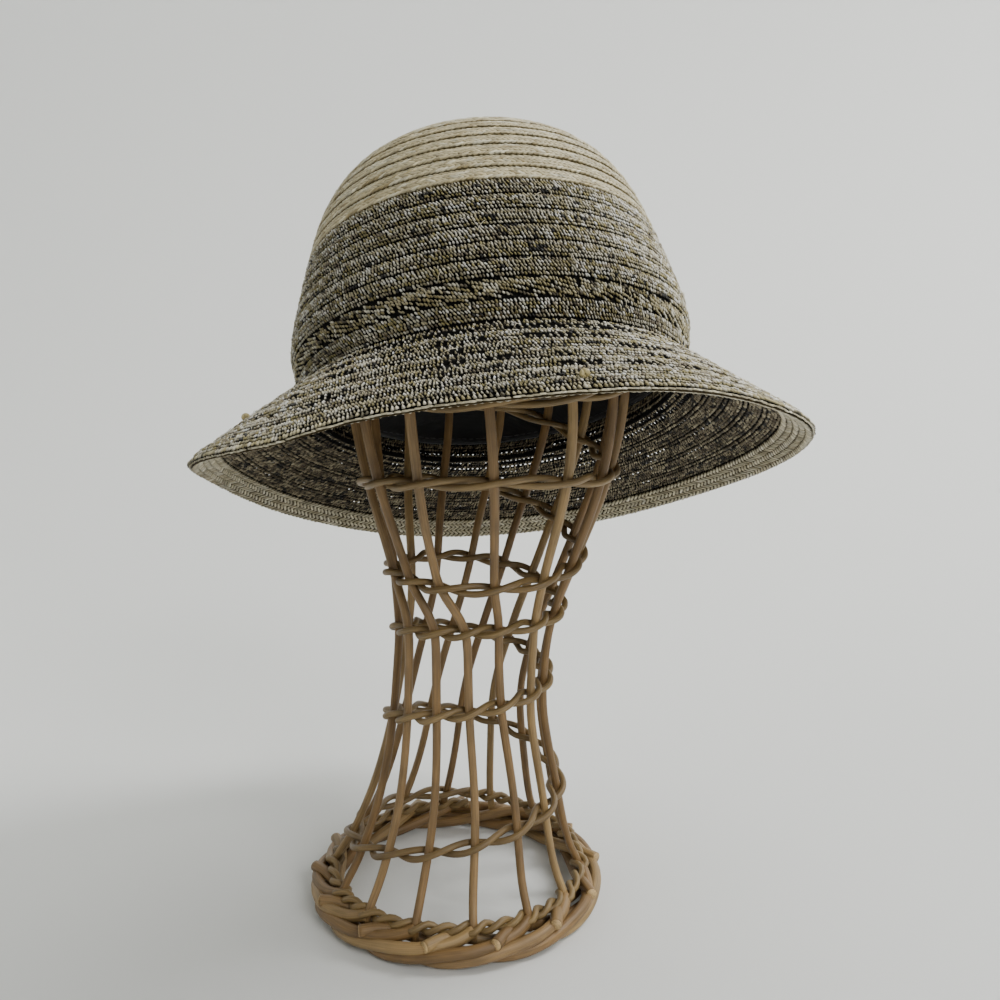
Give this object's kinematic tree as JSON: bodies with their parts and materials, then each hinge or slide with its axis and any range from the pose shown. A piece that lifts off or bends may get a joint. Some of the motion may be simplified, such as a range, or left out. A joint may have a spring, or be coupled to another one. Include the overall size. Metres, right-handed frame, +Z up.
{
  "type": "raffia hat on a rattan hat stand",
  "caption": "Women's braided raffia bucket hat with a bell brim and inner band, resting tipped back on a waisted open rattan stand.",
  "frame": {"origin": "on the floor under the middle of the whole object", "axes": "+Z up, -Y towards the raised front of the hat"},
  "size_m": [0.281, 0.2842, 0.3696],
  "materials": {
    "natural_braid": "matt plaited raffia, natural straw",
    "tweed_braid": "matt knotted raffia, black with cream and olive",
    "facing_braid": "matt herringbone raffia braid",
    "black_band": "ribbed black ribbon",
    "rattan": "unbleached round cane, dull sheen",
    "rattan_weaver": "unbleached thin round cane, dull sheen"
  },
  "bodies": {
    "root": {"crown_tip": "natural_braid", "crown_side": "tweed_braid", "brim": "tweed_braid", "brim_facing": "facing_braid", "sweatband": "black_band", "top_knob": "rattan_weaver", "foot_border": "rattan", "rod_01": "rattan", "rod_02": "rattan", "rod_03": "rattan", "rod_04": "rattan", "rod_05": "rattan", "rod_06": "rattan", "rod_07": "rattan", "rod_08": "rattan", "rod_09": "rattan", "rod_10": "rattan", "rod_11": "rattan", "rod_12": "rattan", "rod_13": "rattan", "rod_14": "rattan", "weaver_1_a": "rattan_weaver", "weaver_1_b": "rattan_weaver", "weaver_2_a": "rattan_weaver", "weaver_2_b": "rattan_weaver", "weaver_3_a": "rattan_weaver", "weaver_3_b": "rattan_weaver", "weaver_4_a": "rattan_weaver", "weaver_4_b": "rattan_weaver", "weaver_5_a": "rattan_weaver", "weaver_5_b": "rattan_weaver", "weaver_6_a": "rattan_weaver", "weaver_6_b": "rattan_weaver", "weaver_7_a": "rattan_weaver", "weaver_7_b": "rattan_weaver"}
  },
  "joints": []
}
